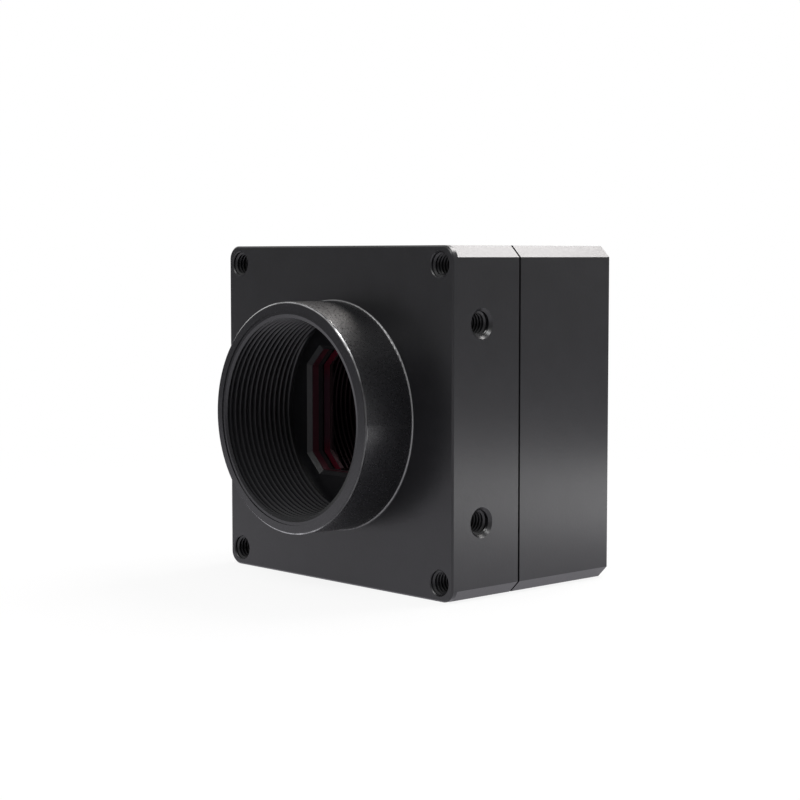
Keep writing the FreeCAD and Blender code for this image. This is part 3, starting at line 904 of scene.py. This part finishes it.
# ---------------------------------------------------------------- sub-assemblies
@dataclass
class SubAssembly:
    """A group of the camera's pieces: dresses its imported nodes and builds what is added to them."""

    wardrobe: Wardrobe

    def finishes(self) -> dict[str, Finish]:
        """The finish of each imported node."""
        return {}

    def meshes(self) -> list[bpy.types.Object]:
        """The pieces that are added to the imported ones."""
        return []

    def dress(self) -> None:
        """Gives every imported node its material."""
        for name, finish in self.finishes().items():
            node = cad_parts[name]
            material = self.wardrobe.material(finish)
            for slot in node.material_slots:
                slot.material = material
            if not node.material_slots:
                node.data.materials.append(material)
            LOG.info("dressed %s in %s", name, finish.name)

    def add(self, piece: bpy.types.Object, finish: Finish) -> None:
        """Gives an added piece its material, body and slot.

        Args:
            piece: The finished mesh object.
            finish: What it wears.
        """
        piece.data.materials.clear()
        piece.data.materials.append(self.wardrobe.material(finish))
        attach(piece, BODY)

    def build(self) -> None:
        """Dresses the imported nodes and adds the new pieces."""
        self.dress()
        for piece in self.meshes():
            self.add(piece, HOUSING)
            LOG.info("made %s with %d faces", piece.name, len(piece.data.polygons))


@dataclass
class Housing(SubAssembly):
    """The two housing halves with their screws, the lens thread and the mounting threads."""

    lens_major: float = 12.7 * MM
    lens_minor: float = 12.27 * MM
    lens_pitch: float = 25.4 / 32 * MM
    lens_start: float = 0.12 * MM
    lens_end: float = 10.9 * MM
    lens_land: float = 0.22 * MM
    lens_slope: float = 0.12 * MM
    screw_major: float = 1.5 * MM
    screw_minor: float = 1.25 * MM
    screw_pitch: float = 0.5 * MM
    screw_depth: float = 4.5 * MM
    front_sink: float = 0.12 * MM
    side_sink: float = 0.35 * MM
    front_offset: float = 18.75 * MM
    front_face: float = 7.5 * MM
    side_offset: float = 11.8 * MM
    side_setback: float = 12.3 * MM
    lens_steps: int = 144
    screw_steps: int = 48
    screw_fade: int = 12

    def finishes(self) -> dict[str, Finish]:
        """Black housing halves and black screws."""
        return {"front_housing": HOUSING, "rear_housing": HOUSING, "housing_screws": BLACK_OXIDE}

    def lens_thread(self) -> bpy.types.Object:
        """Cuts the lens thread inside the nose.

        Returns:
            The thread with its plain ring at the mouth.
        """
        thread = InternalThread("lens_thread", self.lens_major, self.lens_minor, self.lens_pitch,
                                self.lens_start, self.lens_end, land=self.lens_land,
                                land_slope=self.lens_slope, steps=self.lens_steps)
        return thread.build()

    def screw_threads(self, side: Side, sink: float, mouths: list[Point]) -> bpy.types.Object:
        """The threads of the mounting holes on one side.

        Args:
            side: The side that the holes open to.
            sink: The leg of their countersink.
            mouths: The centres of their mouths.

        Returns:
            One object with those threads.
        """
        thread = InternalThread(f"{side.name.lower()}_hole_threads", self.screw_major, self.screw_minor,
                                self.screw_pitch, sink, self.screw_depth, sink=sink, steps=self.screw_steps,
                                fade_steps=self.screw_fade)
        return HoleThreads(thread, side, mouths).build()

    def meshes(self) -> list[bpy.types.Object]:
        """Cuts every thread that opens to the outside of the front housing.

        Returns:
            The lens thread, then the threads of the mounting holes, one object to a side.
        """
        edge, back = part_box("front_housing")[1].x, self.side_setback
        corner = (-self.front_offset, self.front_offset)
        pair = (-self.side_offset, self.side_offset)
        sides = {
            Side.RIGHT: [(edge, back, z) for z in pair],
            Side.LEFT: [(-edge, back, z) for z in pair],
            Side.TOP: [(x, back, edge) for x in pair],
            Side.BOTTOM: [(x, back, -edge) for x in pair],
        }
        corners = [(x, self.front_face, z) for x in corner for z in corner]
        made = [self.lens_thread(), self.screw_threads(Side.FRONT, self.front_sink, corners)]
        return made + [self.screw_threads(side, self.side_sink, mouths) for side, mouths in sides.items()]


@dataclass
class Optics(SubAssembly):
    """The filter in the window, its gasket and the image sensor."""

    def finishes(self) -> dict[str, Finish]:
        """Coated glass, silicone and the sensor's ceramic, silicon and cover."""
        return {"ir_cut_filter": FILTER, "sensor_gasket": SILICONE, "sensor_package": CERAMIC,
                "sensor_die": SILICON, "sensor_cover_glass": COVER}


@dataclass
class SensorBoard(SubAssembly):
    """The board behind the sensor, with its studs and screws."""

    def finishes(self) -> dict[str, Finish]:
        """Laminate, small parts and plated fixings."""
        return {"sensor_board": LAMINATE, "sensor_board_capacitors": CAPACITOR,
                "sensor_board_regulators": RESIN, "board_plug": MOULDING, "board_standoffs": STUD_NICKEL,
                "board_screws": ZINC}


@dataclass
class MainBoard(SubAssembly):
    """The processor board and what sits on it."""

    def finishes(self) -> dict[str, Finish]:
        """Laminate, chips, small parts and the heat pad."""
        return {"main_board": LAMINATE, "board_receptacle": MOULDING, "image_processor": RESIN,
                "thermal_pad": HEAT_PAD, "memory_chips": RESIN, "interface_controller": RESIN,
                "clock_oscillator": TIN, "power_inductors": FERRITE, "main_board_capacitors": CAPACITOR}


@dataclass
class DataSocket(SubAssembly):
    """The data socket with the holes for a plug's locking screws."""

    lock_offset: float = 9.5 * MM
    lock_height: float = 13.0 * MM
    lock_major: float = 1.0 * MM
    lock_minor: float = 0.8 * MM
    lock_pitch: float = 0.4 * MM
    lock_depth: float = 2.0 * MM
    lock_steps: int = 40
    lock_fade: int = 10

    def finishes(self) -> dict[str, Finish]:
        """Plated shell, moulded tongue and gold contacts."""
        return {"data_socket_shell": TIN, "data_socket_insulator": MOULDING,
                "data_socket_contacts": GOLD}

    def meshes(self) -> list[bpy.types.Object]:
        """Cuts the threads of the two locking holes, through the back wall.

        Returns:
            One object with both threads.
        """
        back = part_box("rear_housing")[1].y
        thread = InternalThread("lock_hole_threads", self.lock_major, self.lock_minor, self.lock_pitch,
                                0.0, self.lock_depth, steps=self.lock_steps, fade_steps=self.lock_fade)
        mouths = [(x, back, self.lock_height) for x in (-self.lock_offset, self.lock_offset)]
        return [HoleThreads(thread, Side.BACK, mouths).build()]


@dataclass
class PowerSocket(SubAssembly):
    """The round power and signal socket."""

    def finishes(self) -> dict[str, Finish]:
        """Turned nickel-plated shell, moulded insert, gold pins and plated fixings."""
        return {"power_socket_shell": SOCKET_NICKEL, "power_socket_insert": MOULDING,
                "power_socket_pins": GOLD, "power_socket_nut": STUD_NICKEL, "power_socket_washer": ZINC}


@dataclass
class StatusLight(SubAssembly):
    """The light-emitting diode and the pipe that carries its light to the back."""

    def finishes(self) -> dict[str, Finish]:
        """Clear pipe and the diode's lens."""
        return {"light_pipe": LIGHT_PIPE, "status_led": LED}


# ---------------------------------------------------------------- studio
@dataclass(frozen=True)
class SoftBox:
    """A rectangular lamp that points at the object; one for glints adds no light to dull surfaces."""

    name: str
    place: Point
    size: tuple[float, float]
    radiance: float
    target: Point = (0.0, 0.015, 0.0)
    colour: Colour = WHITE
    glints_only: bool = False

    def build(self) -> None:
        """Adds the lamp."""
        light = bpy.data.lights.new(self.name, "AREA")
        light.shape = "RECTANGLE"
        light.size, light.size_y = self.size
        light.energy = self.radiance * math.pi * self.size[0] * self.size[1]
        light.color = self.colour
        lamp = bpy.data.objects.new(self.name, light)
        lamp.visible_camera = False
        lamp.visible_diffuse = not self.glints_only
        lamp.location = self.place
        beam = Vector(self.target) - Vector(self.place)
        lamp.rotation_euler = beam.to_track_quat("-Z", "Y").to_euler()
        bpy.context.scene.collection.objects.link(lamp)


@dataclass
class Studio:
    """White floor, white surroundings, soft boxes and the camera."""

    floor_level: float
    floor_size: float = 6.0
    floor_white: Colour = (0.82, 0.82, 0.82)
    # The colour of the painted pool of light that reflections see on the floor round the object.
    floor_glow: Colour = (0.95, 0.93, 1.0)
    shadow_share: float = 0.12
    shadow_span: Span = (0.036, 0.18)
    # How far the painted pool of light reaches before it fades to the wall's grey.
    painted_light_span: Span = (0.08, 0.34)
    surround: float = 0.42
    overhead: float = 0.75
    overhead_span: Span = (0.0, 0.9)
    wall: float = 0.32
    ceiling: float = 0.6
    ceiling_span: Span = (0.1, 0.7)
    backdrop_way: Point = (-0.45, 0.89, 0.0)
    backdrop_span: Span = (-0.1, 0.8)
    eye: Point = (0.17624, -0.14538, 0.01971)
    gaze: Point = (-0.72985, 0.67934, -0.07628)
    lens: float = 84.57
    clip: Span = (0.01, 20.0)
    boxes: tuple[SoftBox, ...] = (
        SoftBox("back_box", (0.02, 0.25, 0.32), (0.20, 0.22), 9.8, colour=(1.0, 0.97, 0.965)),
        SoftBox("ring_box", (-0.08, 0.13, 0.34), (0.08, 0.06), 130.0, colour=(1.0, 0.96, 0.93),
                glints_only=True),
        SoftBox("front_box", (0.08, -0.23, 0.36), (0.30, 0.10), 6.0),
        SoftBox("right_box", (0.22, -0.09, 0.34), (0.12, 0.12), 14.0, glints_only=True),
        SoftBox("near_box", (0.28, -0.27, -0.01), (0.16, 0.16), 0.2, glints_only=True),
        SoftBox("bounce_card", (0.055, 0.052, -0.0155), (0.08, 0.010), 2.2,
                target=(0.021, 0.02, -0.0155)),
    )

    def floor(self) -> None:
        """A pale floor that the view sees as white apart from the object's shadow, and that reflections see
        as a painted pool of light round the object, fading to the wall's grey further off.
        """
        deselect_all()
        bpy.ops.mesh.primitive_plane_add(size=self.floor_size, location=(0, 0, self.floor_level))
        plane = bpy.context.object
        plane.name = "floor"
        bpy.ops.object.transform_apply(location=True, rotation=False, scale=False)
        material = bpy.data.materials.new("floor_white")
        graph = Graph(material)
        camera, reflected = graph.direct_rays()
        far = graph.node("ShaderNodeVectorMath", {"operation": "LENGTH"}, {0: graph.place()}, "Value")
        share = camera.most(reflected) * far.ramp(*self.shadow_span, 1 - self.shadow_share, 1.0)
        lit = graph.node("ShaderNodeBsdfDiffuse", None, {"Color": self.floor_white})
        # Painted pool of light: reflections see the floor bright round the object and grey further off.
        painted_light_pool = graph.blend(far.ramp(*self.painted_light_span, 1.0, self.wall), BLACK, self.floor_glow)
        glow = {"Color": graph.blend(camera, painted_light_pool, WHITE), "Strength": 1.0}
        graph.finish(graph.mix(share, lit, graph.node("ShaderNodeEmission", None, glow)))
        plane.data.materials.append(material)
        plane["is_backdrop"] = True

    def surroundings(self) -> None:
        """White behind the object, and a grey room with a paler ceiling for its light."""
        world = bpy.data.worlds.new("surroundings")
        bpy.context.scene.world = world
        graph = Graph(world)
        camera, reflected = graph.direct_rays()
        way = graph.node("ShaderNodeTexCoord", output="Generated")
        height = graph.node("ShaderNodeSeparateXYZ", None, {0: way}, "Z")
        behind = graph.node("ShaderNodeVectorMath", {"operation": "DOT_PRODUCT"},
                            {0: way, 1: self.backdrop_way}, "Value")
        diffuse = height.ramp(*self.overhead_span, self.surround, self.overhead)
        backdrop = behind.ramp(*self.backdrop_span, self.wall, 1.0)
        glossy = height.ramp(*self.ceiling_span, self.wall, self.ceiling).most(backdrop)
        room, shown = (graph.node("ShaderNodeBackground", None, {"Color": level, "Strength": 1.0})
                       for level in (diffuse, camera.most(glossy)))
        graph.finish(graph.mix(camera.most(reflected), room, shown))

    def camera(self) -> None:
        """The camera at the product's own viewing angle."""
        data = bpy.data.cameras.new("view")
        data.lens = self.lens
        data.clip_start, data.clip_end = self.clip
        camera = bpy.data.objects.new("view", data)
        camera.location = self.eye
        camera.rotation_euler = Vector(self.gaze).to_track_quat("-Z", "Y").to_euler()
        bpy.context.scene.collection.objects.link(camera)
        bpy.context.scene.camera = camera

    def build(self) -> None:
        """Sets up the whole studio."""
        self.floor()
        self.surroundings()
        for box in self.boxes:
            box.build()
        self.camera()
        bpy.context.scene.view_settings.view_transform = "Standard"


def main() -> None:
    """Dresses the camera, builds its threads and sets up the studio."""
    logging.basicConfig(level=logging.INFO, format="%(name)s: %(message)s")
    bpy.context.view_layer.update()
    wardrobe = Wardrobe()
    for kind in (Housing, Optics, SensorBoard, MainBoard, DataSocket, PowerSocket, StatusLight):
        kind(wardrobe).build()
    Studio(floor_level=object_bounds()[0].z).build()


if __name__ == "__main__":
    main()
